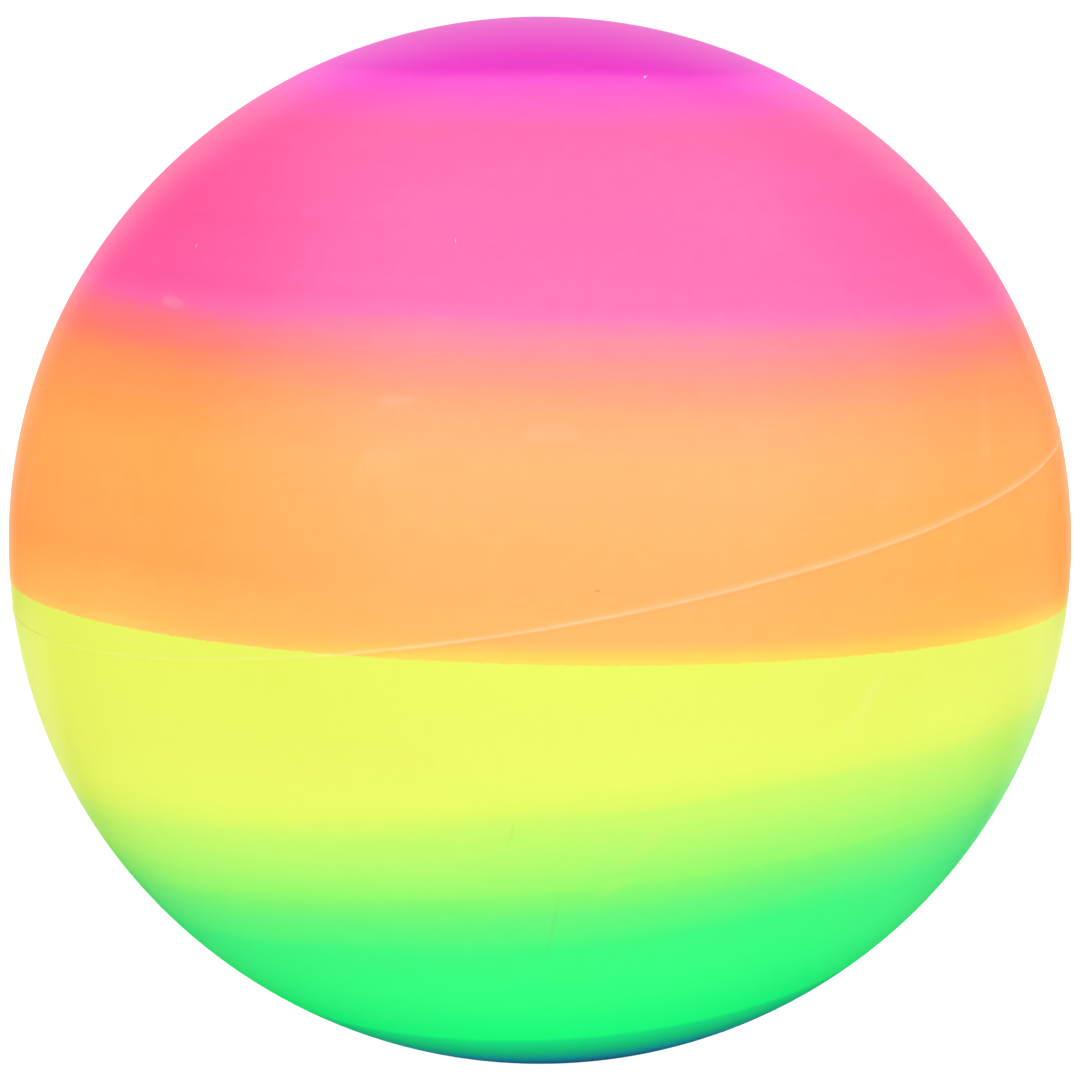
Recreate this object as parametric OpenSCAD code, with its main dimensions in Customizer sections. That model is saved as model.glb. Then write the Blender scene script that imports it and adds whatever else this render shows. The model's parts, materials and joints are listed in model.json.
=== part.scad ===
// Inflatable vinyl play ball with sprayed rainbow bands and a pull-out valve plug.
// Millimetres, +Z up, origin at the ball's centre, the ball standing on its lowest point.

/* [Ball] */
// Diameter across the ball's widest belt
ball_d = 229; // [200:1:260]
// Height of the ball as a share of its width, because the blown skin is slightly squat
squat = 0.985; // [0.97:0.001:1]
// Thickness of the vinyl wall
wall_t = 0.55; // [0.4:0.05:0.9]

/* [Parting line] */
// Width of the raised line where the two halves of the mould met
flash_w = 1.1; // [0.6:0.1:2]
// Height of the raised line above the skin
flash_h = 0.25; // [0.1:0.05:0.5]
// Sideways lean of the mould's parting plane, in degrees
flash_lean = -9.5; // [-15:0.5:15]
// Forward lean of the mould's parting plane, in degrees
flash_pitch = 4.5; // [-10:0.5:10]
// Distance of the parting plane from the ball's centre
flash_rise = 7.5; // [0:0.5:12]

/* [Spray bands] */
// Lower edge of the magenta cap, as a share of the ball's radius above its centre
cap_edge = 0.88; // [0.8:0.01:0.95]
// Lower edge of the pink band
pink_edge = 0.48; // [0.3:0.01:0.7]
// Lower edge of the orange band
orange_edge = -0.07; // [-0.15:0.01:0.1]
// Lower edge of the yellow band
yellow_edge = -0.4; // [-0.5:0.01:-0.3]
// Lower edge of the green band, where the blue foot begins
green_edge = -0.77; // [-0.9:0.01:-0.65]
// Sideways lean of the three upper edges, in degrees
upper_lean = 1.2; // [-4:0.1:4]
// Sideways lean of the two lower edges, in degrees
lower_lean = -5; // [-8:0.1:0]

/* [Valve place] */
// Turn of the valve about the ball's upright axis, counted from +X, in degrees
valve_turn = 154; // [0:1:359]
// Rise of the valve's axis above the horizontal, in degrees
valve_tilt = 41; // [20:1:60]

/* [Valve sleeve] */
// Diameter of the neck that fills the hole in the skin
neck_d = 13; // [12:0.5:16]
// Diameter of the flange bonded to the inside of the skin
flange_d = 24; // [18:1:30]
// Thickness of that flange
flange_t = 1.2; // [0.8:0.1:2]
// Diameter of the barrel inside the ball
barrel_d = 10.5; // [9:0.5:11.5]
// Reach of the barrel below the ball's outer surface
barrel_l = 15; // [13:0.5:18]
// Diameter of the recess that holds the plug's head
recess_d = 10.4; // [10.2:0.1:11]
// Diameter of the barrel's bore
bore_d = 6.1; // [6.04:0.02:6.2]

/* [Valve plug] */
// Diameter of the plug's flat head
head_d = 10; // [9:0.1:10]
// Thickness of the plug's head
head_t = 1.3; // [1:0.1:1.8]
// Diameter of the plug's stem
stem_d = 6; // [5.9:0.02:6]
// Length of the stem below the head, with its nose
stem_l = 12.5; // [10.5:0.5:14]
// Length of the stem's tapered nose
nose_l = 2; // [1:0.1:3]
// Number of sealing grooves around the stem
groove_count = 3; // [1:1:3]
// Depth of each sealing groove
groove_depth = 0.3; // [0.1:0.05:0.6]
// Diameter of the hole that takes an inflating needle
needle_d = 2.2; // [2.1:0.05:2.4]
// Depth of the straight part of the needle hole
needle_l = 6; // [4:0.5:8]

/* [Hidden] */

ball_r = ball_d / 2;
pole_r = ball_r * squat;
inner_d = ball_d - 2 * wall_t;

// The valve's axis is square to the skin, so its place comes from the ellipse's normal.
valve_norm = sqrt(pow(ball_r * cos(valve_tilt), 2) + pow(pole_r * sin(valve_tilt), 2));
valve_out = pow(ball_r, 2) * cos(valve_tilt) / valve_norm;
valve_up = pow(pole_r, 2) * sin(valve_tilt) / valve_norm;

// Play under the plug's head, so that it seats without touching the recess's floor
seat_gap = 0.05;
// Chamfer on the recess's mouth and the head's rim
soft_edge = 0.25;
// Depth of the needle hole's widened mouth, which flares by as much all round
needle_mouth = 0.6;
// Width of a sealing groove, the step from one to the next, and the first one's place below the head
groove_w = 0.8;
groove_pitch = 2.2;
groove_start = 3;
// Diameter at the nose's tip
nose_d = 4;
// A little beyond a surface, so that a cut or a crossing is clean
over = 1;
// A band edge that lies below the whole ball, as a share of its radius
below_ball = -1.1;
// Facets round the ball, its outline, the valve and the needle hole
ball_facets = 180;
outline_facets = 360;
valve_facets = 96;
needle_facets = 48;

// Each band: its colour, its lower edge and that edge's lean. The list runs downward.
BANDS = [
    [[0.96, 0.28, 0.83], cap_edge, upper_lean],
    [[1.00, 0.44, 0.71], pink_edge, upper_lean],
    [[1.00, 0.69, 0.37], orange_edge, upper_lean],
    [[0.93, 0.99, 0.41], yellow_edge, lower_lean],
    [[0.20, 1.00, 0.49], green_edge, lower_lean],
    [[0.00, 0.33, 0.50], below_ball, 0]
];

module spheroid(d) {
    rotate_extrude($fn = ball_facets)
        intersection() {
            scale([1, squat]) circle(d = d, $fn = outline_facets);
            translate([0, -d]) square([d, 2 * d]);
        }
}

// Everything above a plane that leans sideways and forward, at a height along its own normal
module above(height, lean, pitch = 0) {
    rotate([pitch, lean, 0])
        translate([-ball_d, -ball_d, height])
            cube(2 * ball_d);
}

module at_valve() {
    rotate([0, 0, valve_turn])
        translate([valve_out, 0, valve_up])
            rotate([0, 90 - valve_tilt, 0])
                children();
}

// The raised line, taken from a slightly larger ball by a thin leaning slice
module flash() {
    intersection() {
        spheroid(ball_d + 2 * flash_h);
        difference() {
            above(flash_rise - flash_w / 2, flash_lean, flash_pitch);
            above(flash_rise + flash_w / 2, flash_lean, flash_pitch);
        }
    }
}

module bare_skin() {
    difference() {
        union() {
            spheroid(ball_d);
            flash();
        }
        spheroid(inner_d);
        at_valve() cylinder(d = neck_d, h = 4 * over, center = true, $fn = valve_facets);
    }
}

module ball_skin() {
    for (i = [0 : len(BANDS) - 1])
        color(BANDS[i][0])
            intersection() {
                bare_skin();
                difference() {
                    above(BANDS[i][1] * ball_r, BANDS[i][2]);
                    if (i > 0) above(BANDS[i - 1][1] * ball_r, BANDS[i - 1][2]);
                }
            }
}

module sleeve_flange() {
    difference() {
        intersection() {
            spheroid(inner_d);
            at_valve()
                translate([0, 0, -barrel_l])
                    cylinder(d = flange_d, h = barrel_l, $fn = valve_facets);
        }
        spheroid(inner_d - 2 * flange_t);
    }
}

module sleeve_barrel() {
    at_valve()
        translate([0, 0, -barrel_l])
            cylinder(d = barrel_d, h = barrel_l - flange_t, $fn = valve_facets);
}

module sleeve_neck() {
    intersection() {
        spheroid(ball_d);
        at_valve()
            cylinder(d = neck_d, h = 4 * flange_t, center = true, $fn = valve_facets);
    }
}

// The cone that breaks the edge of the recess's mouth
module recess_chamfer() {
    translate([0, 0, -soft_edge])
        cylinder(d1 = recess_d, d2 = recess_d + 4 * soft_edge, h = 2 * soft_edge, $fn = valve_facets);
}

module valve_sleeve() {
    color("ivory")
        difference() {
            union() {
                sleeve_flange();
                sleeve_barrel();
                sleeve_neck();
            }
            at_valve() {
                translate([0, 0, -head_t - seat_gap])
                    cylinder(d = recess_d, h = 2 * head_t, $fn = valve_facets);
                translate([0, 0, -barrel_l - over])
                    cylinder(d = bore_d, h = barrel_l + over, $fn = valve_facets);
                recess_chamfer();
            }
        }
}

// The head, stem and nose in one turned outline, from the head's top downward
module plug_body() {
    rotate_extrude($fn = valve_facets)
        polygon([
            [0, 0],
            [head_d / 2 - soft_edge, 0],
            [head_d / 2, -soft_edge],
            [head_d / 2, -head_t],
            [stem_d / 2, -head_t],
            [stem_d / 2, nose_l - head_t - stem_l],
            [nose_d / 2, -head_t - stem_l],
            [0, -head_t - stem_l]
        ]);
}

module groove(depth_below_head) {
    translate([0, 0, -head_t - depth_below_head])
        difference() {
            cylinder(d = stem_d + over, h = groove_w, center = true, $fn = valve_facets);
            cylinder(d = stem_d - 2 * groove_depth, h = groove_w + over, center = true, $fn = valve_facets);
        }
}

// A straight blind hole under a wider mouth that guides the needle in
module needle_hole() {
    translate([0, 0, -needle_mouth - needle_l])
        cylinder(d = needle_d, h = needle_l + over, $fn = needle_facets);
    translate([0, 0, -needle_mouth])
        cylinder(d1 = needle_d, d2 = needle_d + 2 * needle_mouth, h = needle_mouth, $fn = needle_facets);
}

module valve_plug() {
    color("gainsboro")
        at_valve()
            difference() {
                plug_body();
                for (i = [0 : groove_count - 1]) groove(groove_start + i * groove_pitch);
                needle_hole();
            }
}

ball_skin();
valve_sleeve();
valve_plug();
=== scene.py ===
import json
import math

import bmesh
import bpy
from mathutils import Matrix, Vector, noise
from mathutils.geometry import delaunay_2d_cdt


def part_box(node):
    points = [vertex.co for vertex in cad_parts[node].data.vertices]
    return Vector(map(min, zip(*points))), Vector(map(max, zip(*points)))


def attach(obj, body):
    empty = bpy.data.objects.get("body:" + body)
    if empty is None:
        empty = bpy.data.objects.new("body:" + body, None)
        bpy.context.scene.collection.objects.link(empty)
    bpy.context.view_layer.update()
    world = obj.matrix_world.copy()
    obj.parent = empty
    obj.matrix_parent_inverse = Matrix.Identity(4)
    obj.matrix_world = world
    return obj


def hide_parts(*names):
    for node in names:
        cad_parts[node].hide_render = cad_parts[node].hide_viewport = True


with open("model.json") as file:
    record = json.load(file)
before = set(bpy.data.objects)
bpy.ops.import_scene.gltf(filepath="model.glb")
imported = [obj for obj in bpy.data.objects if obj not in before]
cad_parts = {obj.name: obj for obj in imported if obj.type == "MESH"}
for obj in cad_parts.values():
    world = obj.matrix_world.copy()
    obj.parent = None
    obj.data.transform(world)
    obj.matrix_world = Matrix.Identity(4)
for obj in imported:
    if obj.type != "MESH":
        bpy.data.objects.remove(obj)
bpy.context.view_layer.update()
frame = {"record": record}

MM = 0.001

# ---------------------------------------------------------------- sizes from the frame

SKIN_LOW, SKIN_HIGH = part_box("ball_skin")
BALL_R = 0.5 * (SKIN_HIGH.x - SKIN_LOW.x)
POLE_R = 0.5 * (SKIN_HIGH.z - SKIN_LOW.z)
WALL = 0.55 * MM

MOUNTS = {m["name"]: m for m in frame["record"]["mounts"]}
NEEDLE = MOUNTS["needle_hole"]
NEEDLE_R = NEEDLE["dims"]["r_mm"] * MM
NEEDLE_LENGTH = NEEDLE["dims"]["length_mm"] * MM
NEEDLE_MOUTH = 0.6 * MM

# The valve's own frame: its origin on the ball's surface, its Z out of the ball
VALVE_AXIS = Vector(NEEDLE["axis"]).normalized()
VALVE_TOP = Vector(NEEDLE["pos_m"]) + VALVE_AXIS * (NEEDLE_MOUTH + NEEDLE_LENGTH / 2)
VALVE_SIDE = Vector((0, 0, 1)).cross(VALVE_AXIS).normalized()
VALVE_UP = VALVE_AXIS.cross(VALVE_SIDE)
VALVE_TURN = Matrix((VALVE_SIDE, VALVE_UP, VALVE_AXIS)).transposed()
AT_VALVE = Matrix.Translation(VALVE_TOP) @ VALVE_TURN.to_4x4()

# The valve's sizes, as its CAD parts have them; depths are counted from the ball's surface
NECK_R = 6.5 * MM
FLANGE_R = 12 * MM
FLANGE_THICK = 1.2 * MM
BARREL_R = 5.25 * MM
BARREL_DEPTH = 15 * MM
RECESS_R = 5.2 * MM
RECESS_DEPTH = 1.35 * MM
BORE_R = 3.05 * MM
HEAD_R = 5 * MM
HEAD_THICK = 1.3 * MM
STEM_R = 3 * MM
STEM_DEPTH = 13.8 * MM
NOSE_LENGTH = 2 * MM
NOSE_R = 2 * MM
GROOVES = 3
GROOVE_START = 4.3 * MM
GROOVE_PITCH = 2.2 * MM
GROOVE_WIDTH = 0.8 * MM
GROOVE_DEEP = 0.3 * MM

# The raised line (flash) at the mould's parting plane
FLASH_RISE = 7.5 * MM
FLASH_HEIGHT = 0.16 * MM
FLASH_HALF = 0.55 * MM


def lean_axis(lean, pitch):
    """Up, leaned sideways towards +X by lean and back towards +Y by pitch, both in degrees."""
    a, b = math.radians(lean), math.radians(pitch)
    return Vector((math.sin(a) * math.cos(b), math.sin(b), math.cos(a) * math.cos(b)))


def direction(azimuth, elevation):
    """The way to azimuth 0 in front, 90 to the right and 180 behind, at an elevation; both in degrees."""
    a, e = math.radians(azimuth), math.radians(elevation)
    return Vector((math.sin(a) * math.cos(e), -math.cos(a) * math.cos(e), math.sin(e)))


MOULD_AXIS = lean_axis(-9.5, -4.5)
UPPER_SPRAY = lean_axis(1.2, 0)
LOWER_SPRAY = lean_axis(-5.4, 0)
FOOT_SPRAY = lean_axis(-4.4, -7.8)

# ---------------------------------------------------------------- shader nodes


class Nodes:
    """One node material, built by calls that return output sockets."""

    def __init__(self, name):
        self.material = bpy.data.materials.new(name)
        self.material.use_nodes = True
        self.tree = self.material.node_tree
        self.shader = self.tree.nodes["Principled BSDF"]

    def node(self, kind, inputs=(), **settings):
        """A new node with these inputs, which are sockets or constants, and these settings."""
        made = self.tree.nodes.new(kind)
        for key, value in settings.items():
            setattr(made, key, value)
        for key, value in dict(inputs).items():
            self.put(made.inputs[key], value)
        return made

    def put(self, socket, value):
        """Links a socket into this one, or gives it a constant."""
        if isinstance(value, bpy.types.NodeSocket):
            self.tree.links.new(value, socket)
        else:
            socket.default_value = value

    def finish(self, inputs):
        """Gives the shader these inputs, and returns the material."""
        for name, value in inputs.items():
            self.put(self.shader.inputs[name], value)
        return self.material

    def surface(self):
        """The point on the surface, in metres, in the frame's axes."""
        return self.node("ShaderNodeTexCoord").outputs["Object"]

    def attribute(self, name):
        """A number that the mesh holds at each of its points."""
        return self.node("ShaderNodeAttribute", attribute_name=name).outputs["Fac"]

    def math(self, operation, a, b=0.0, c=0.0, clamp=False):
        """One sum on up to three numbers."""
        made = self.node("ShaderNodeMath", {0: a, 1: b, 2: c}, operation=operation, use_clamp=clamp)
        return made.outputs[0]

    def times(self, a, b):
        """a * b"""
        return self.math("MULTIPLY", a, b)

    def scaled(self, value, gain, offset):
        """value * gain + offset"""
        return self.math("MULTIPLY_ADD", value, gain, offset)

    def between(self, share, low, high):
        """low where the share is 0, high where it is 1, and even steps between them."""
        return self.scaled(share, high - low, low)

    def dot(self, vector, axis):
        """How far a point lies along an axis."""
        made = self.node("ShaderNodeVectorMath", {0: vector, 1: tuple(axis)}, operation="DOT_PRODUCT")
        return made.outputs["Value"]

    def stretch(self, vector, scale):
        """A vector scaled by its own amount along X, Y and Z."""
        made = self.node("ShaderNodeVectorMath", {0: vector, 1: tuple(scale)}, operation="MULTIPLY")
        return made.outputs["Vector"]

    def noise(self, vector, scale, detail, roughness):
        """Noise between 0 and 1."""
        inputs = {"Vector": vector, "Scale": scale, "Detail": detail, "Roughness": roughness}
        return self.node("ShaderNodeTexNoise", inputs).outputs["Fac"]

    def swing(self, vector, scale, detail, roughness):
        """Noise that swings evenly about zero."""
        return self.math("SUBTRACT", self.noise(vector, scale, detail, roughness), 0.5)

    def remap(self, value, low, high, curve):
        """0 at low and 1 at high, and held there outside them."""
        inputs = {"Value": value, "From Min": low, "From Max": high}
        return self.node("ShaderNodeMapRange", inputs, interpolation_type=curve).outputs["Result"]

    def step(self, value, low, high):
        """0 up to low, 1 from high on, and a smooth rise between them; high may be the smaller."""
        return self.remap(value, low, high, "SMOOTHSTEP")

    def mix(self, share, a, b):
        """Colour a, with this share of colour b."""
        made = self.node("ShaderNodeMix", data_type="RGBA", clamp_result=False)
        self.put(made.inputs["Factor"], share)
        first, second = [s for s in made.inputs if s.type == "RGBA"]
        self.put(first, a)
        self.put(second, b)
        return next(s for s in made.outputs if s.type == "RGBA")

    def ramp(self, value, stops):
        """A colour ramp through (position, colour) stops, whose positions may run outside 0 to 1."""
        low, high = stops[0][0], stops[-1][0]
        made = self.node("ShaderNodeValToRGB", {"Fac": self.remap(value, low, high, "LINEAR")})
        elements = made.color_ramp.elements
        while len(elements) < len(stops):
            elements.new(0.5)
        for element, (position, colour) in zip(elements, stops):
            element.position = (position - low) / (high - low)
            element.color = colour
        return made.outputs["Color"]

    def bump(self, height, strength, distance):
        """The normal of a surface with this fine relief, whose full height is the distance in metres."""
        inputs = {"Strength": strength, "Distance": distance, "Height": height}
        return self.node("ShaderNodeBump", inputs).outputs["Normal"]


def screen(r, g, b):
    """A colour given as 0 to 255 screen values, as linear light and a full alpha."""
    shares = [c / 255 for c in (r, g, b)]
    return (*(s / 12.92 if s <= 0.04045 else ((s + 0.055) / 1.055) ** 2.4 for s in shares), 1)


# ---------------------------------------------------------------- sprayed vinyl

# The paint's shine: a satin gloss over a soft velvety sheen in the paint's own colour
ROUGHNESS = 0.28
PAINT_IOR = 1.35
SHEEN_WEIGHT = 0.35
SHEEN_ROUGHNESS = 0.45

# Where the cap's mottle fades in and the foot's paint takes over, and the crisp masked edge between orange
# and yellow. A paint's heights are in ball radii, along its own spray's axis.
CAP_FADE = (0.87, 0.91)
FOOT_FADE = (-0.69, -0.73)
MASKED_EDGE = (-0.0745, -0.0715)

# How far the paints wander with their streaks and with slow clouds, and how ragged the masked edge is
UPPER_WANDER = 0.035
LOWER_WANDER = 0.04
FOOT_WANDER = 0.012
CLOUD_WANDER = 0.03
RAGGEDNESS = 0.006

# How strongly each effect shows
GRAIN = 0.09
MOTTLE = 0.5
GLOW = 0.8
WARMTH = 0.4
# The painted haze of reflected light on the green's left and right
LEFT_PAINTED_HAZE = 0.05
RIGHT_PAINTED_HAZE = 0.07

# The flash's crest, worn pale and with a painted highlight, and the painted shade along its foot, where it
# crosses the yellow and the orange
CREST_ON_YELLOW = 0.2
CREST_ON_ORANGE = 0.72
SHADE_ON_YELLOW = 0.02
SHADE_ON_ORANGE = 0.14

# The pale line just above the flash, thin paint and a painted highlight: how strongly it shows, and how far
# up it is palest and it ends
PALE_LINE_STRENGTH = 0.11
PALEST_RISE = 0.4 * MM
PALE_END_RISE = 1.5 * MM

# Each paint's colours by height: here orange, pink and the magenta cap
UPPER_PAINT = [
    (-0.08, screen(250, 186, 86)),
    (-0.055, screen(250, 168, 84)),
    (0.05, screen(250, 162, 86)),
    (0.15, screen(250, 165, 92)),
    (0.25, screen(250, 167, 101)),
    (0.33, screen(250, 160, 108)),
    (0.38, screen(250, 146, 115)),
    (0.43, screen(250, 134, 136)),
    (0.46, screen(250, 128, 150)),
    (0.495, screen(250, 109, 172)),
    (0.52, screen(250, 103, 167)),
    (0.65, screen(250, 100, 168)),
    (0.795, screen(250, 94, 162)),
    (0.82, screen(250, 92, 176)),
    (0.85, screen(250, 80, 188)),
    (0.87, screen(250, 66, 204)),
    (0.90, screen(228, 12, 190)),
    (0.93, screen(222, 16, 184)),
]

# Painted shade: the same paints deeper towards the ball's left and right, where the sides catch less front
# light
SIDE_SHADED_PAINT = [
    (-0.08, screen(250, 186, 86)),
    (-0.055, screen(250, 172, 80)),
    (0.05, screen(250, 152, 69)),
    (0.25, screen(250, 156, 69)),
    (0.33, screen(250, 145, 68)),
    (0.38, screen(250, 136, 73)),
    (0.43, screen(250, 112, 94)),
    (0.46, screen(250, 104, 116)),
    (0.495, screen(250, 88, 152)),
    (0.52, screen(250, 74, 148)),
    (0.65, screen(250, 71, 144)),
    (0.80, screen(250, 72, 148)),
    (0.87, screen(246, 58, 186)),
    (0.90, screen(238, 30, 192)),
]

# Green up to yellow
LOWER_PAINT = [
    (-0.80, screen(14, 234, 116)),
    (-0.70, screen(36, 232, 116)),
    (-0.61, screen(48, 226, 114)),
    (-0.54, screen(90, 223, 108)),
    (-0.51, screen(110, 224, 100)),
    (-0.48, screen(132, 226, 95)),
    (-0.44, screen(157, 226, 95)),
    (-0.38, screen(178, 226, 92)),
    (-0.355, screen(187, 226, 90)),
    (-0.33, screen(206, 226, 86)),
    (-0.29, screen(212, 226, 86)),
    (-0.20, screen(212, 224, 84)),
    (-0.10, screen(212, 224, 80)),
]

# The blue foot up to green; its dark navy towards the bottom is part paint and part painted shade
FOOT_PAINT_AND_SHADE = [
    (-1.00, screen(0, 30, 90)),
    (-0.88, screen(0, 96, 136)),
    (-0.85, screen(0, 136, 146)),
    (-0.835, screen(0, 156, 140)),
    (-0.82, screen(0, 170, 126)),
    (-0.80, screen(0, 188, 117)),
    (-0.775, screen(0, 204, 119)),
    (-0.76, screen(0, 214, 120)),
    (-0.75, screen(0, 238, 118)),
    (-0.72, screen(12, 235, 117)),
]

# The whitish green of the painted haze
PAINTED_HAZE_GREEN = (0.7, 1, 0.8, 1)
DEEP_MAGENTA = screen(218, 4, 184)
YELLOW_GLOW = screen(250, 202, 64)
RIGHT_YELLOW_GLOW = screen(250, 226, 66)
WARM_ORANGE = screen(250, 166, 60)
# The pale of thin paint over vinyl, also the colour of the painted highlight on and above the flash
THIN_PAINT_AND_HIGHLIGHT = screen(255, 220, 186)
FLASH_SHADE = screen(236, 130, 80)

# Small marks on the paint. Each has the azimuth and elevation of its middle, its half
# width, half height and turn, all in degrees, and then how much of the mark's colour shows.
# Pale smears from play, and painted highlights where slight wrinkles in the skin catch the light
PALE_SMEARS_AND_HIGHLIGHTS = [
    (-15, 21, 2.6, 0.9, 4, 0.08),
    (-16, 15, 2.8, 1.8, 0, 0.04),
    (1, 18, 3.4, 1.5, 0, 0.05),
    (37, 11, 1.6, 2.6, -20, 0.025),
    (54, 15, 1.3, 7.5, -24, 0.03),
    (46, 4, 1.1, 7.0, -20, 0.02),
    (34.5, -10, 1.1, 5.6, -32, 0.05),
    (-48, 30, 2.4, 0.8, -8, 0.10),
    (150, 22, 2.8, 1.0, 15, 0.08),
    (205, 6, 1.2, 6.0, 20, 0.05),
    (110, 41, 2.4, 0.8, -20, 0.07),
    (290, 8, 1.2, 5.0, -15, 0.04),
]
ORANGE_SMEARS = [
    (11, -24, 1.2, 4.6, -44, 0.06),
    (8, -29, 0.9, 2.2, -50, 0.05),
    (-14, -14, 2.0, 1.2, 20, 0.05),
    (170, -27, 0.9, 4.0, 38, 0.10),
]
WHITE_SCRATCHES = [
    (-49, 36.6, 0.10, 0.40, 25, 0.3),
    (-10.6, 38.4, 0.08, 0.40, 5, 0.3),
    (25, 63.5, 0.12, 0.45, -40, 0.8),
    (120, -8, 0.10, 1.2, 50, 0.4),
    (190, 35, 0.10, 0.9, -30, 0.5),
    (262, -18, 0.10, 1.0, 75, 0.4),
]
DARK_SCRATCHES = [
    (5.5, 2.9, 0.45, 0.14, 0, 0.45),
    (-3, -22, 0.24, 1.8, -12, 0.08),
    (1.5, -34.5, 0.3, 5.0, -8, 0.08),
    (222, -30, 0.20, 3.4, 20, 0.15),
    (140, -12, 0.20, 2.4, -35, 0.12),
]
# The pale of the smears and of the painted highlights
PALE_SMEAR_AND_HIGHLIGHT = screen(255, 222, 204)
ORANGE_SMEAR = screen(255, 190, 120)
BARE_SCRATCH = (0.95, 0.95, 0.93, 1)
DARK_SCRATCH = screen(120, 120, 60)


def mark(n, unit, azimuth, elevation, half_width, half_height, turn, share):
    """A soft-edged oval mask at a place on the ball, leaned by turn degrees."""
    middle = direction(azimuth, elevation)
    east = Vector((0, 0, 1)).cross(middle).normalized()
    north = middle.cross(east)
    a = math.radians(turn)
    along_width = (east * math.cos(a) + north * math.sin(a)) / math.sin(math.radians(half_width))
    along_height = (north * math.cos(a) - east * math.sin(a)) / math.sin(math.radians(half_height))
    across = n.dot(unit, along_width)
    up = n.dot(unit, along_height)
    spread = n.scaled(up, up, n.times(across, across))
    oval = n.times(n.step(spread, 1.0, 0.0), share)
    on_this_side = n.math("GREATER_THAN", n.dot(unit, middle), 0)
    return n.times(oval, on_this_side)


def all_marks(n, unit, marks, patchiness):
    """The strongest of the marks at each point, broken up by patchy noise."""
    total = 0.0
    for one in marks:
        total = n.math("MAXIMUM", mark(n, unit, *one), total)
    return n.times(total, patchiness)


def streaks(n, unit, height, rings, seed):
    """Noise drawn out round the ball, along lines of equal height about a spray's axis."""
    x = n.dot(unit, (0.9, 0.3, 0))
    y = n.dot(unit, (-0.3, 0.9, 0))
    around = n.node("ShaderNodeCombineXYZ", {"X": x, "Y": y, "Z": n.scaled(height, rings, seed)})
    return n.swing(around.outputs["Vector"], scale=1.6, detail=4.0, roughness=0.6)


def lower_paints(n, unit, drift):
    """Yellow, green and the blue foot, below the masked edge."""
    lower = n.dot(unit, LOWER_SPRAY)
    runs = streaks(n, unit, lower, rings=26, seed=7.0)
    colour = n.ramp(n.math("ADD", n.scaled(runs, LOWER_WANDER, lower), drift), LOWER_PAINT)
    # The foot's blue, darkened towards the bottom by painted shade as well as its navy paint
    foot = n.scaled(runs, FOOT_WANDER, n.dot(unit, FOOT_SPRAY))
    colour = n.mix(n.step(foot, *FOOT_FADE), colour, n.ramp(foot, FOOT_PAINT_AND_SHADE))

    # Painted reflection and light: the green turns a little whitish towards the two sides
    x = n.dot(unit, (1, 0, 0))
    painted_haze = n.scaled(n.step(x, 0.4, 0.95), RIGHT_PAINTED_HAZE, n.times(n.step(x, -0.4, -0.95), LEFT_PAINTED_HAZE))
    return n.mix(n.times(painted_haze, n.step(lower, -0.36, -0.62)), colour, PAINTED_HAZE_GREEN)


def upper_paints(n, unit, drift):
    """Orange, pink and the magenta cap, above the masked edge."""
    x = n.dot(unit, (1, 0, 0))
    upper = n.dot(unit, UPPER_SPRAY)
    runs = streaks(n, unit, upper, rings=22, seed=0.0)
    height = n.math("ADD", n.scaled(runs, UPPER_WANDER, upper), drift)
    # Painted shade: the colours deepen towards the left and right, broken up by the spray's streaks
    at_the_sides = n.math("MAXIMUM", n.step(x, -0.15, -0.72), n.step(x, 0.3, 1.0))
    thick = n.math("MULTIPLY_ADD", runs, -0.4, at_the_sides, clamp=True)
    colour = n.mix(thick, n.ramp(height, UPPER_PAINT), n.ramp(height, SIDE_SHADED_PAINT))

    # The cap is mottled with deeper magenta
    mottle = n.swing(n.stretch(unit, (5, 9, 14)), scale=1.0, detail=4.0, roughness=0.62)
    in_cap = n.times(n.step(upper, *CAP_FADE), MOTTLE)
    colour = n.mix(n.times(n.step(mottle, 0.0, 0.2), in_cap), colour, DEEP_MAGENTA)

    # Thin orange lets the yellow below glow through, most at the front right
    at_front_right = n.step(n.dot(unit, (0.5, -0.85, 0)), 0.35, 0.9)
    glow = n.times(n.step(upper, -0.03, -0.075), at_front_right)
    glow_colour = n.mix(n.step(x, 0.6, 0.95), YELLOW_GLOW, RIGHT_YELLOW_GLOW)
    colour = n.mix(n.times(glow, GLOW), colour, glow_colour)

    # The orange is warmer on the right
    warm = n.times(n.step(n.dot(unit, direction(62, 2)), 0.72, 1.0), WARMTH)
    return n.mix(n.times(warm, n.step(upper, 0.25, 0.1)), colour, WARM_ORANGE)


def flash_wear_and_painted_light(n, unit, colour, on_orange):
    """The flash with paler vinyl on its worn crest and a painted highlight there, and with painted shade
    along its foot.
    """
    wear = n.between(n.noise(unit, scale=14, detail=3.0, roughness=0.6), 0.2, 0.7)
    # The crest's pale is worn paint and a painted highlight
    crest = n.times(n.attribute("flash"), wear)
    crest = n.times(crest, n.between(on_orange, CREST_ON_YELLOW, CREST_ON_ORANGE))
    colour = n.mix(crest, colour, THIN_PAINT_AND_HIGHLIGHT)
    shade = n.times(n.attribute("under_flash"), n.between(on_orange, SHADE_ON_YELLOW, SHADE_ON_ORANGE))
    return n.mix(shade, colour, FLASH_SHADE)


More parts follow.
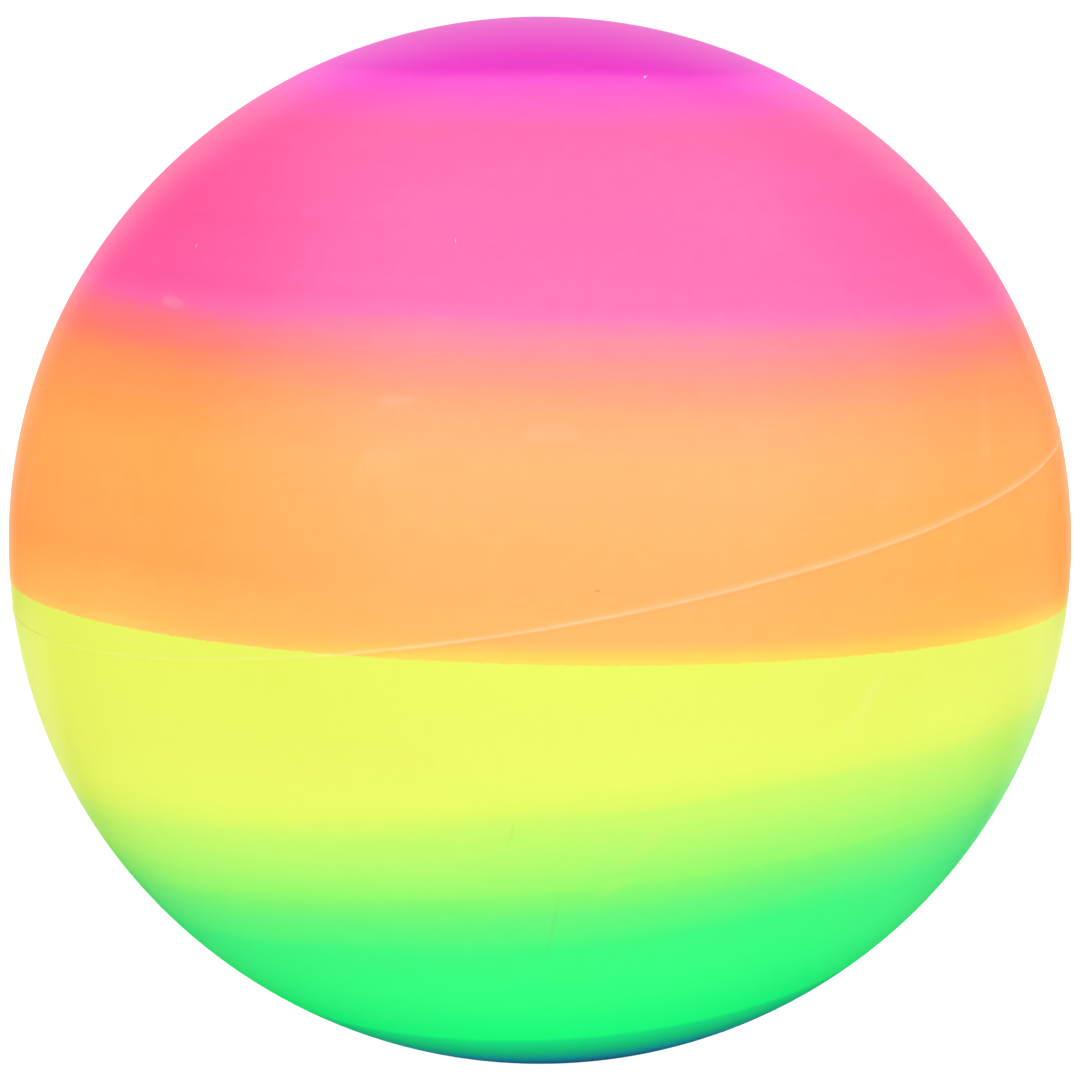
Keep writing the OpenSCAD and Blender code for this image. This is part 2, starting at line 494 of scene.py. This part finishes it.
def thin_paint_and_highlight(n, unit, colour, on_orange):
    """A narrow pale zone just above the flash, most of all on the right: thin paint and a painted
    highlight.
    """
    above = n.math("SUBTRACT", n.dot(unit, MOULD_AXIS), FLASH_RISE / BALL_R)
    palest = PALEST_RISE / BALL_R
    zone = n.times(n.step(above, 0.0, palest), n.step(above, PALE_END_RISE / BALL_R, palest))
    on_right = n.step(n.dot(unit, (1, 0, 0)), -0.4, 0.45)
    zone = n.times(zone, n.times(on_orange, on_right))
    return n.mix(n.times(zone, PALE_LINE_STRENGTH), colour, THIN_PAINT_AND_HIGHLIGHT)


def marks_and_painted_highlights(n, unit, colour):
    """Faint smears and fine scratches from play, and painted highlights among the pale smears."""
    patchy = n.times(n.noise(unit, scale=24, detail=4.0, roughness=0.7), 2.0)
    for marks, patchiness, tint in (
        (PALE_SMEARS_AND_HIGHLIGHTS, patchy, PALE_SMEAR_AND_HIGHLIGHT),
        (ORANGE_SMEARS, patchy, ORANGE_SMEAR),
        (WHITE_SCRATCHES, 1.0, BARE_SCRATCH),
        (DARK_SCRATCHES, 1.0, DARK_SCRATCH),
    ):
        colour = n.mix(all_marks(n, unit, marks, patchiness), colour, tint)
    return colour


def sprayed_vinyl():
    """The whole skin's paint, from the sprays up to the marks that play has left on them."""
    n = Nodes("sprayed_vinyl")
    unit = n.stretch(n.surface(), (1 / BALL_R,) * 3)

    # Every paint's height wanders with slow clouds as well as with its own streaks
    drift = n.times(n.swing(unit, scale=2.2, detail=2.0, roughness=0.5), CLOUD_WANDER)
    lower_colour = lower_paints(n, unit, drift)
    upper_colour = upper_paints(n, unit, drift)

    # The masked edge between orange and yellow is crisp, and a little ragged
    ragged = n.swing(unit, scale=60, detail=2.0, roughness=0.6)
    edge = n.scaled(ragged, RAGGEDNESS, n.dot(unit, UPPER_SPRAY))
    colour = n.mix(n.step(edge, *MASKED_EDGE), lower_colour, upper_colour)

    # A faint grain of thicker and thinner spray
    grain = n.swing(n.stretch(unit, (34, 34, 22)), scale=1.0, detail=3.0, roughness=0.7)
    gamma = n.scaled(grain, GRAIN, 1.0)
    colour = n.node("ShaderNodeGamma", {"Color": colour, "Gamma": gamma}).outputs["Color"]

    on_orange = n.step(edge, -0.09, -0.06)
    colour = flash_wear_and_painted_light(n, unit, colour, on_orange)
    colour = thin_paint_and_highlight(n, unit, colour, on_orange)
    colour = marks_and_painted_highlights(n, unit, colour)
    peel = n.noise(unit, scale=90, detail=2.0, roughness=0.5)
    return n.finish(
        {
            "Base Color": colour,
            "Roughness": ROUGHNESS,
            "IOR": PAINT_IOR,
            "Sheen Weight": SHEEN_WEIGHT,
            "Sheen Roughness": SHEEN_ROUGHNESS,
            "Sheen Tint": colour,
            "Normal": n.bump(peel, strength=0.05, distance=0.1 * MM),
        }
    )


# ---------------------------------------------------------------- the valve's materials

CREAMS = [
    (0.35, (0.78, 0.73, 0.60, 1)),
    (0.5, (0.84, 0.80, 0.69, 1)),
    (0.65, (0.88, 0.85, 0.76, 1)),
]
MILKY_GREYS = [
    (0.35, (0.62, 0.61, 0.57, 1)),
    (0.5, (0.70, 0.69, 0.65, 1)),
    (0.65, (0.76, 0.75, 0.72, 1)),
]
OVERSPRAY_PINK = screen(250, 92, 160)
RECESS_BROWN = (0.36, 0.31, 0.25, 1)
DARKER_GREY = (0.30, 0.28, 0.26, 1)


def from_valve_axis(n, point):
    """The distance from the valve's axis, in millimetres."""
    side = n.math("SUBTRACT", n.dot(point, VALVE_SIDE / MM), VALVE_TOP.dot(VALVE_SIDE) / MM)
    up = n.math("SUBTRACT", n.dot(point, VALVE_UP / MM), VALVE_TOP.dot(VALVE_UP) / MM)
    return n.math("SQRT", n.scaled(side, side, n.times(up, up)))


def above_valve(n, point):
    """The height above the valve's outer face, in millimetres."""
    return n.math("SUBTRACT", n.dot(point, VALVE_AXIS / MM), VALVE_TOP.dot(VALVE_AXIS) / MM)


def bare_vinyl():
    """Cream vinyl with sprayed pink on its outer rim and darker brown in its recess; radii and heights in
    mm.
    """
    n = Nodes("bare_vinyl")
    point = n.surface()
    radius = from_valve_axis(n, point)
    height = above_valve(n, point)
    cloud = n.noise(point, scale=350, detail=4.0, roughness=0.6)
    speckle = n.noise(point, scale=3200, detail=3.0, roughness=0.7)
    colour = n.ramp(cloud, CREAMS)

    # The recess's floor and walls are darker, a speckled brown
    in_recess = n.times(n.step(height, -0.5, -1.4), n.step(radius, 5.6, 5.1))
    recess_darkening = n.times(in_recess, n.between(speckle, 0.1, 0.9))
    colour = n.mix(recess_darkening, colour, RECESS_BROWN)

    ragged = n.scaled(speckle, 0.9, n.scaled(cloud, 0.6, -0.75))
    on_rim = n.step(n.math("ADD", radius, ragged), 5.75, 6.5)
    overspray = n.times(on_rim, n.step(height, -0.5, -0.3))
    colour = n.mix(n.times(overspray, 0.85), colour, OVERSPRAY_PINK)

    roughness = n.between(speckle, 0.3, 0.55)
    grain = n.bump(speckle, strength=0.3, distance=0.03 * MM)
    return n.finish({"Base Color": colour, "Roughness": roughness, "Normal": grain})


def plug_rubber():
    """Milky rubber, greyer by the hole, in the moulded ring and at the head's rim; radii and heights in mm.
    """
    n = Nodes("plug_rubber")
    point = n.surface()
    radius = from_valve_axis(n, point)
    height = above_valve(n, point)
    cloud = n.noise(point, scale=260, detail=4.0, roughness=0.6)
    speckle = n.noise(point, scale=4200, detail=3.0, roughness=0.7)
    colour = n.ramp(cloud, MILKY_GREYS)

    # Darker speckled grey by the hole, in the ring's groove and at the rim, on the head only
    by_hole = n.step(radius, 2.6, 1.4)
    by_ring = n.times(n.step(radius, 3.1, 3.4), n.step(radius, 4.1, 3.8))
    by_rim = n.step(radius, 4.5, 5.0)
    greying = n.math("MAXIMUM", by_hole, n.math("MAXIMUM", by_ring, by_rim))
    greying = n.times(greying, n.times(speckle, 0.7))
    on_head = n.step(height, -0.3, -0.1)
    colour = n.mix(n.times(greying, on_head), colour, DARKER_GREY)

    roughness = n.between(speckle, 0.35, 0.65)
    grain = n.bump(speckle, strength=0.4, distance=0.03 * MM)
    return n.finish({"Base Color": colour, "Roughness": roughness, "Normal": grain})


# ---------------------------------------------------------------- the skin's mesh

# The outer skin's quads: steps round the mould's axis, the step between its rings, and the closer rings
# over the flash, which reach this far to each side of it
AROUND = 480
RING_STEP = math.radians(1.5)
FLASH_RINGS = 12
FLASH_REACH = 1.1 * MM

# The flash wanders slowly, ripples a little and stands out unevenly: how much, and how often round the ball
WANDER = 0.12 * MM
WANDER_RATE = 9
RIPPLE = 0.05 * MM
RIPPLE_RATE = 40
UNEVENNESS = 0.35
UNEVEN_RATE = 14
UNEVEN_SHIFT = Vector((5, 0, 0))

# The reach of the flash's crest to each side, and the place and reach of the shade along its foot
CREST_REACH = 0.55 * FLASH_HALF
SHADE_DROP = 1.2 * FLASH_HALF
SHADE_REACH = 0.5 * FLASH_HALF

# The round patch about the valve, and the least gap between it and the outer skin's quads
VALVE_AROUND = 96
VALVE_TURNS = [2 * math.pi * i / VALVE_AROUND for i in range(VALVE_AROUND)]
PATCH_R = 14 * MM
PATCH_GAP = 2.4 * MM

# The patch's rings: even across the insert's mark, and closer and closer towards the hole
PATCH_RINGS = [13 * MM, 12.2 * MM, 11.6 * MM]
PATCH_RINGS += [(11.2 - 0.2 * i) * MM for i in range(7)]
PATCH_RINGS += [r * MM for r in (9.3, 8.6, 8, 7.5, 7.15, 6.9, 6.72, 6.6, 6.53)]

# The skin's swelling about the valve's neck, the fine ring left by the mould's insert, and the softened
# edge of the hole, each with its height and its reach
SWELL_HEIGHT = 0.28 * MM
SWELL_REACH = 2.4 * MM
INSERT_R = 10.6 * MM
INSERT_HEIGHT = 0.15 * MM
INSERT_REACH = 0.32 * MM
EDGE_DROP = 0.16 * MM
EDGE_REACH = 0.22 * MM

# How far through the wall each ring of the hole's side lies, and the steps round the inside of the ball
WALL_SHARES = (0.35, 0.7, 1.0)
INNER_STEPS = 60


def new_object(name, bm, material, smooth=True):
    """A scene object from a mesh under construction, which is freed."""
    mesh = bpy.data.meshes.new(name)
    bm.to_mesh(mesh)
    bm.free()
    made = bpy.data.objects.new(name, mesh)
    bpy.context.scene.collection.objects.link(made)
    mesh.materials.append(material)
    for face in mesh.polygons:
        face.use_smooth = smooth
    return made


def on_ball(way, depth=0.0):
    """The point this way from the ball's centre, on its surface or on the shell this deep in its wall."""
    d = way.normalized()
    wide, tall = BALL_R - depth, POLE_R - depth
    return d / math.sqrt((d.x * d.x + d.y * d.y) / wide**2 + d.z * d.z / tall**2)


def outward(point):
    """The ball's normal at a point on it."""
    return Vector((point.x / BALL_R**2, point.y / BALL_R**2, point.z / POLE_R**2)).normalized()


def near_valve(turn, radius, depth=0.0):
    """The point at this turn and radius about the valve's axis, on the shell this deep in the wall."""
    start = AT_VALVE @ Vector((radius * math.cos(turn), radius * math.sin(turn), 0))
    squash = Vector((1 / (BALL_R - depth), 1 / (BALL_R - depth), 1 / (POLE_R - depth)))
    p, d = start * squash, VALVE_AXIS * squash
    a, b, c = d.dot(d), p.dot(d), p.dot(p) - 1
    return start + VALVE_AXIS * ((math.sqrt(b * b - a * c) - b) / a)


def off_valve(point):
    """A point's distance from the valve's axis, or a large one on the far side of the ball."""
    away = point - VALVE_TOP
    along = away.dot(VALVE_AXIS)
    return (away - VALVE_AXIS * along).length if along > -BALL_R else BALL_R


def turn_at(vert):
    """A vertex's turn about the valve's axis."""
    local = AT_VALVE.inverted() @ vert.co
    return math.atan2(local.y, local.x)


def add_ring(bm, points):
    """New vertices at these points, in order round a ring."""
    return [bm.verts.new(point) for point in points]


def add_band(bm, lower, upper, keep=None):
    """Quads between two rings of as many points, where keep() says so of a quad's middle."""
    for i in range(len(lower)):
        j = (i + 1) % len(lower)
        corners = (lower[i], lower[j], upper[j], upper[i])
        middle = sum((v.co for v in corners), Vector()) / 4
        if keep is None or keep(middle):
            bm.faces.new(corners)


def add_tip(bm, ring, tip):
    """Triangles from a ring to one point."""
    for i in range(len(ring)):
        bm.faces.new((ring[i], ring[(i + 1) % len(ring)], tip))


def boundary_loop(bm):
    """The open edge of the mesh, walked from one vertex to the next anticlockwise about the valve."""
    first = next(e for e in bm.edges if e.is_boundary)
    loop = list(first.verts)
    edge = first
    while True:
        edge = next(e for e in loop[-1].link_edges if e.is_boundary and e is not edge)
        if edge is first:
            break
        loop.append(edge.other_vert(loop[-1]))
    loop.pop()
    steps = [(turn_at(b) - turn_at(a) + math.pi) % (2 * math.pi) - math.pi for a, b in zip(loop, loop[1:])]
    return loop if sum(steps) > 0 else loop[::-1]


def fill_between(bm, loop, ring):
    """Even triangles between the skin's open edge and the round edge of the valve's patch."""
    verts = loop + ring
    flat = [(AT_VALVE.inverted() @ v.co).xy for v in verts]
    borders = [(i, (i + 1) % len(loop)) for i in range(len(loop))]
    borders += [(len(loop) + i, len(loop) + (i + 1) % len(ring)) for i in range(len(ring))]
    inside_borders = 1
    merge_distance = 1e-7
    found = delaunay_2d_cdt(flat, borders, [], inside_borders, merge_distance)
    places, triangles, sources = found[0], found[2], found[3]
    ring_inside = PATCH_R * math.cos(math.pi / len(ring))
    for triangle in triangles:
        middle = sum((places[i] for i in triangle), Vector((0, 0))) / 3
        if middle.length > ring_inside:
            bm.faces.new([verts[sources[i][0]] for i in triangle])


def mould_latitudes():
    """Ring latitudes about the mould's axis: even over the ball, and close together across the flash."""
    centre = math.asin(FLASH_RISE / BALL_R)
    reach = FLASH_REACH / BALL_R
    close = [centre + reach * (2 * i / FLASH_RINGS - 1) for i in range(FLASH_RINGS + 1)]
    below = round((close[0] + math.pi / 2) / RING_STEP)
    above = round((math.pi / 2 - close[-1]) / RING_STEP)
    low = [-math.pi / 2 + (close[0] + math.pi / 2) * i / below for i in range(1, below)]
    high = [close[-1] + (math.pi / 2 - close[-1]) * i / above for i in range(1, above)]
    return low + close + high


def bell(offset, reach):
    """1 at no offset, falling away smoothly with this reach."""
    return math.exp(-((offset / reach) ** 2))


def lip(radius):
    """How far the skin stands out at this distance from the valve's axis."""
    swell = SWELL_HEIGHT * bell(radius - NECK_R, SWELL_REACH)
    insert_mark = INSERT_HEIGHT * bell(radius - INSERT_R, INSERT_REACH)
    return swell + insert_mark - EDGE_DROP * math.exp(-((radius - NECK_R) / EDGE_REACH))


def flash_at(base, flat):
    """The flash's height at a point, and the shade just below it, both as shares of the full amount."""
    wander = WANDER * noise.noise(flat * WANDER_RATE) + RIPPLE * noise.noise(flat * RIPPLE_RATE)
    off = base.dot(MOULD_AXIS) - FLASH_RISE - wander
    thick = 1 + UNEVENNESS * noise.noise(flat * UNEVEN_RATE + UNEVEN_SHIFT)
    return bell(off, CREST_REACH) * thick, bell(off + SHADE_DROP, SHADE_REACH)


def add_outer_skin(bm):
    """Rings about the mould's axis, with a round gap left for the valve."""
    flash = bm.verts.layers.float.new("flash")
    under_flash = bm.verts.layers.float.new("under_flash")
    side = MOULD_AXIS.orthogonal().normalized()
    across = MOULD_AXIS.cross(side)
    rings = []
    for latitude in mould_latitudes():
        ring = []
        for i in range(AROUND):
            turn = 2 * math.pi * i / AROUND
            flat = side * math.cos(turn) + across * math.sin(turn)
            base = on_ball(flat * math.cos(latitude) + MOULD_AXIS * math.sin(latitude))
            rise, shade = flash_at(base, flat)
            vert = bm.verts.new(base + outward(base) * FLASH_HEIGHT * rise)
            vert[flash] = min(1, rise)
            vert[under_flash] = shade
            ring.append(vert)
        rings.append(ring)
    for lower, upper in zip(rings, rings[1:]):
        add_band(bm, lower, upper, lambda middle: off_valve(middle) > PATCH_R + PATCH_GAP)
    add_tip(bm, rings[0][::-1], bm.verts.new(on_ball(-MOULD_AXIS)))
    add_tip(bm, rings[-1], bm.verts.new(on_ball(MOULD_AXIS)))
    bmesh.ops.delete(bm, geom=[v for v in bm.verts if not v.link_faces], context="VERTS")


def add_valve_lip(bm):
    """Rings about the valve's axis, from the gap in the outer skin in to the hole, whose rim it returns."""
    rings = []
    for radius in [PATCH_R] + PATCH_RINGS + [NECK_R]:
        raised = [near_valve(turn, radius) + VALVE_AXIS * lip(radius) for turn in VALVE_TURNS]
        rings.append(add_ring(bm, raised))
    fill_between(bm, boundary_loop(bm), rings[0])
    for outer, inner in zip(rings, rings[1:]):
        add_band(bm, outer, inner)
    return rings[-1]


def add_inner_skin(bm, rim):
    """The hole's side and the inside of the wall, from the hole's rim round to the far side."""
    rings = [rim]
    for share in WALL_SHARES:
        rings.append(add_ring(bm, [near_valve(turn, NECK_R, share * WALL) for turn in VALVE_TURNS]))
    start = NECK_R / BALL_R
    for k in range(1, INNER_STEPS):
        angle = start + (math.pi - start) * k / INNER_STEPS
        ring = []
        for turn in VALVE_TURNS:
            flat = VALVE_SIDE * math.cos(turn) + VALVE_UP * math.sin(turn)
            ring.append(on_ball(VALVE_AXIS * math.cos(angle) + flat * math.sin(angle), WALL))
        rings.append(add_ring(bm, ring))
    for nearer, farther in zip(rings, rings[1:]):
        add_band(bm, nearer, farther)
    add_tip(bm, rings[-1], bm.verts.new(on_ball(-VALVE_AXIS, WALL)))


def build_skin(material):
    """The whole skin, inside and out, as one closed mesh."""
    bm = bmesh.new()
    add_outer_skin(bm)
    rim = add_valve_lip(bm)
    add_inner_skin(bm, rim)
    bmesh.ops.recalc_face_normals(bm, faces=bm.faces)
    return new_object("skin", bm, material)


# ---------------------------------------------------------------- the valve's turned pieces

ARC_STEPS = 4
MID_FLANGE_R = 9 * MM

# The shallow moulded ring on the plug's head
RING_INNER_R = 3.3 * MM
RING_OUTER_R = 3.9 * MM
RING_SLOPE = 0.1 * MM
RING_DEEP = 0.12 * MM
RING_FILLET = 0.05 * MM


def rounded(outline):
    """A closed outline of (radius, height, fillet) corners, with each corner turned into an arc."""
    points = []
    for i, (r, z, fillet) in enumerate(outline):
        here = Vector((r, z))
        if fillet == 0:
            points.append(here)
            continue
        before = Vector(outline[i - 1][:2]) - here
        after = Vector(outline[(i + 1) % len(outline)][:2]) - here
        reach = fillet / math.tan(before.angle(after) / 2)
        start = here + before.normalized() * reach
        end = here + after.normalized() * reach
        for k in range(ARC_STEPS + 1):
            t = k / ARC_STEPS
            points.append(start * (1 - t) ** 2 + here * 2 * t * (1 - t) + end * t**2)
    return points


def ring_about_valve(radius, height):
    """Points round the valve's axis, or the one point on it where the radius is nothing."""
    turns = VALVE_TURNS if radius > 0 else [0]
    return [AT_VALVE @ Vector((radius * math.cos(a), radius * math.sin(a), height)) for a in turns]


def turned(name, outline, material):
    """A closed outline turned about the valve's axis; corners on the axis become tips."""
    bm = bmesh.new()
    rings = [add_ring(bm, ring_about_valve(point.x, point.y)) for point in rounded(outline)]
    for first, second in zip(rings, rings[1:] + rings[:1]):
        if len(first) == 1 and len(second) == 1:
            continue
        if len(first) == 1:
            add_tip(bm, second, first[0])
        elif len(second) == 1:
            add_tip(bm, first, second[0])
        else:
            add_band(bm, first, second)
    bmesh.ops.recalc_face_normals(bm, faces=bm.faces)
    made = new_object(name, bm, material)
    made.modifiers.new("face_weights", "WEIGHTED_NORMAL")
    return made


def sag(radius):
    """The height of the ball's surface at this radius, below the valve's top."""
    return -(radius**2) / (2 * BALL_R)


def build_sleeve(material):
    """Recess, neck, flange and barrel in one outline, from the bore's mouth round."""
    flange_top = sag(FLANGE_R) - WALL
    outline = [
        (BORE_R, -RECESS_DEPTH, 0.15 * MM),
        (RECESS_R, -RECESS_DEPTH, 0.12 * MM),
        (RECESS_R, sag(RECESS_R), 0.2 * MM),
        (NECK_R, sag(NECK_R), 0.15 * MM),
        (NECK_R, sag(NECK_R) - WALL, 0),
        (MID_FLANGE_R, sag(MID_FLANGE_R) - WALL, 0),
        (FLANGE_R, flange_top, 0.3 * MM),
        (FLANGE_R, flange_top - FLANGE_THICK, 0.5 * MM),
        (MID_FLANGE_R, sag(MID_FLANGE_R) - WALL - FLANGE_THICK, 0),
        (BARREL_R, sag(BARREL_R) - WALL - FLANGE_THICK, 0.5 * MM),
        (BARREL_R, -BARREL_DEPTH, 0.6 * MM),
        (BORE_R, -BARREL_DEPTH, 0.3 * MM),
    ]
    return turned("sleeve", outline, material)


def build_plug(material):
    """Needle hole, head, grooved stem and nose in one outline, from the hole's blind end round."""
    outline = [
        (0, -NEEDLE_MOUTH - NEEDLE_LENGTH, 0),
        (NEEDLE_R, -NEEDLE_MOUTH - NEEDLE_LENGTH, 0.3 * MM),
        (NEEDLE_R, -NEEDLE_MOUTH, 0.3 * MM),
        (NEEDLE_R + NEEDLE_MOUTH, 0, 0.15 * MM),
        (RING_INNER_R, 0, RING_FILLET),
        (RING_INNER_R + RING_SLOPE, -RING_DEEP, RING_FILLET),
        (RING_OUTER_R - RING_SLOPE, -RING_DEEP, RING_FILLET),
        (RING_OUTER_R, 0, RING_FILLET),
        (HEAD_R, 0, 0.35 * MM),
        (HEAD_R, -HEAD_THICK, 0.2 * MM),
        (STEM_R, -HEAD_THICK, 0.2 * MM),
    ]
    for i in range(GROOVES):
        middle = -GROOVE_START - i * GROOVE_PITCH
        for r, offset in ((0, 0.5), (GROOVE_DEEP, 0.5), (GROOVE_DEEP, -0.5), (0, -0.5)):
            outline.append((STEM_R - r, middle + offset * GROOVE_WIDTH, 0.1 * MM))
    outline += [
        (STEM_R, NOSE_LENGTH - STEM_DEPTH, 0.4 * MM),
        (NOSE_R, -STEM_DEPTH, 0.5 * MM),
        (0, -STEM_DEPTH, 0),
    ]
    return turned("plug", outline, material)


# ---------------------------------------------------------------- the studio

WHITE = (1, 1, 1, 1)
CAMERA_RADII = 8
CAMERA_ELEVATION = math.radians(7.8)
PICTURE_MARGIN = 1.016
FLOOR_R = 8.0
FLOOR_GREY = (0.35, 0.35, 0.35, 1)


def add_camera():
    """A camera some ball radii away, a little above the ball's middle, whose picture the ball fills."""
    distance = CAMERA_RADII * BALL_R
    back, up = distance * math.cos(CAMERA_ELEVATION), distance * math.sin(CAMERA_ELEVATION)
    data = bpy.data.cameras.new("camera")
    camera = bpy.data.objects.new("camera", data)
    bpy.context.scene.collection.objects.link(camera)
    camera.location = (0, -back, up)
    camera.rotation_euler = (math.pi / 2 - CAMERA_ELEVATION, 0, 0)
    data.sensor_fit = "HORIZONTAL"
    outline = math.asin(1 / CAMERA_RADII)
    data.angle = 2 * math.atan(PICTURE_MARGIN * math.tan(outline))
    bpy.context.scene.camera = camera


def add_floor():
    """A wide floor that glows white, so that no shadow shows on it, and that the paint doesn't mirror."""
    bm = bmesh.new()
    bmesh.ops.create_circle(bm, cap_ends=True, radius=FLOOR_R, segments=64)
    material = Nodes("floor").finish(
        {
            "Base Color": FLOOR_GREY,
            "Roughness": 1.0,
            "Specular IOR Level": 0.0,
            "Emission Color": WHITE,
            "Emission Strength": 1.0,
        }
    )
    floor = new_object("floor", bm, material, smooth=False)
    floor.location.z = SKIN_LOW.z
    floor.visible_glossy = False


def add_light(name, kind, rotation):
    """A light turned this way, and its settings."""
    data = bpy.data.lights.new(name, kind)
    light = bpy.data.objects.new(name, data)
    bpy.context.scene.collection.objects.link(light)
    light.rotation_euler = rotation
    return light, data


def facing(way):
    """The rotation of a light that shines this way."""
    return way.to_track_quat("-Z", "Y").to_euler()


def add_sheen(name, azimuth, elevation, distance, size, radiance, lies_flat=False):
    """A soft oval panel that only shows as a reflection; it faces the ball, or lies flat and faces up."""
    place = direction(azimuth, elevation) * distance
    panel, data = add_light(name, "AREA", facing(Vector((0, 0, 1)) if lies_flat else -place))
    panel.location = place
    panel.visible_camera = False
    panel.visible_diffuse = False
    data.shape = "ELLIPSE"
    data.size, data.size_y = size
    area = math.pi * size[0] * size[1] / 4
    data.energy = radiance * math.pi * area


def add_sun(name, azimuth, elevation, angle, strength, as_gloss=False):
    """A lamp as wide as a ceiling or a wall, which lights the paint or only shows in its gloss."""
    lamp, data = add_light(name, "SUN", facing(-direction(azimuth, elevation)))
    lamp.visible_glossy = as_gloss
    lamp.visible_diffuse = not as_gloss
    data.angle = math.radians(angle)
    data.energy = strength


def add_world(strength, seen_strength):
    """Even light from all round, which the camera sees as plain white."""
    world = bpy.data.worlds.new("studio")
    bpy.context.scene.world = world
    world.use_nodes = True
    world.cycles_visibility.glossy = False
    tree = world.node_tree
    background = tree.nodes["Background"]
    background.inputs["Color"].default_value = WHITE
    background.inputs["Strength"].default_value = strength
    seen = tree.nodes.new("ShaderNodeBackground")
    seen.inputs["Color"].default_value = WHITE
    seen.inputs["Strength"].default_value = seen_strength
    path = tree.nodes.new("ShaderNodeLightPath")
    mix = tree.nodes.new("ShaderNodeMixShader")
    tree.links.new(path.outputs["Is Camera Ray"], mix.inputs[0])
    tree.links.new(background.outputs[0], mix.inputs[1])
    tree.links.new(seen.outputs[0], mix.inputs[2])
    tree.links.new(mix.outputs[0], tree.nodes["World Output"].inputs["Surface"])


def add_studio():
    """Camera, floor and light. Angles are in degrees, and distances and sizes in metres."""
    bpy.context.scene.view_settings.view_transform = "Standard"
    add_camera()
    add_floor()
    add_world(strength=0.92, seen_strength=1.05)
    add_sun("key", azimuth=15, elevation=30, angle=120, strength=0.36)
    add_sun("left_fill", azimuth=-85, elevation=-10, angle=150, strength=0.45)
    add_sun("right_fill", azimuth=90, elevation=-10, angle=150, strength=0.35)
    add_sun("back_fill", azimuth=180, elevation=-5, angle=150, strength=2.2)
    add_sun("sky", azimuth=180, elevation=85, angle=180, strength=0.4, as_gloss=True)
    add_sun("back_wall", azimuth=180, elevation=12, angle=56, strength=0.35, as_gloss=True)
    for name, azimuth, elevation, distance, size, radiance in (
        ("wide_sheen", 10, 28, 0.5, (4.0, 2.6), 0.9),
        ("core_sheen", 8, 22, 0.8, (1.7, 1.5), 1.1),
        ("left_sheen", -75, 15, 0.8, (0.9, 1.5), 0.25),
        ("right_sheen", 100, 5, 0.8, (1.3, 1.0), 0.3),
        ("top_sheen", 0, 100, 0.8, (1.2, 0.7), 0.5),
        ("rim_sheen", 180, -7, 0.33, (0.56, 0.14), 0.34),
    ):
        add_sheen(name, azimuth, elevation, distance, size, radiance)
    add_sheen("floor_sheen", 180, -19, distance=0.34, size=(0.9, 0.4), radiance=0.5, lies_flat=True)


add_studio()
skin = build_skin(sprayed_vinyl())
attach(skin, "ball")
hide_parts("ball_skin")

sleeve = build_sleeve(bare_vinyl())
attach(sleeve, "ball")
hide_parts("valve_sleeve")

plug = build_plug(plug_rubber())
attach(plug, "plug")
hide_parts("valve_plug")
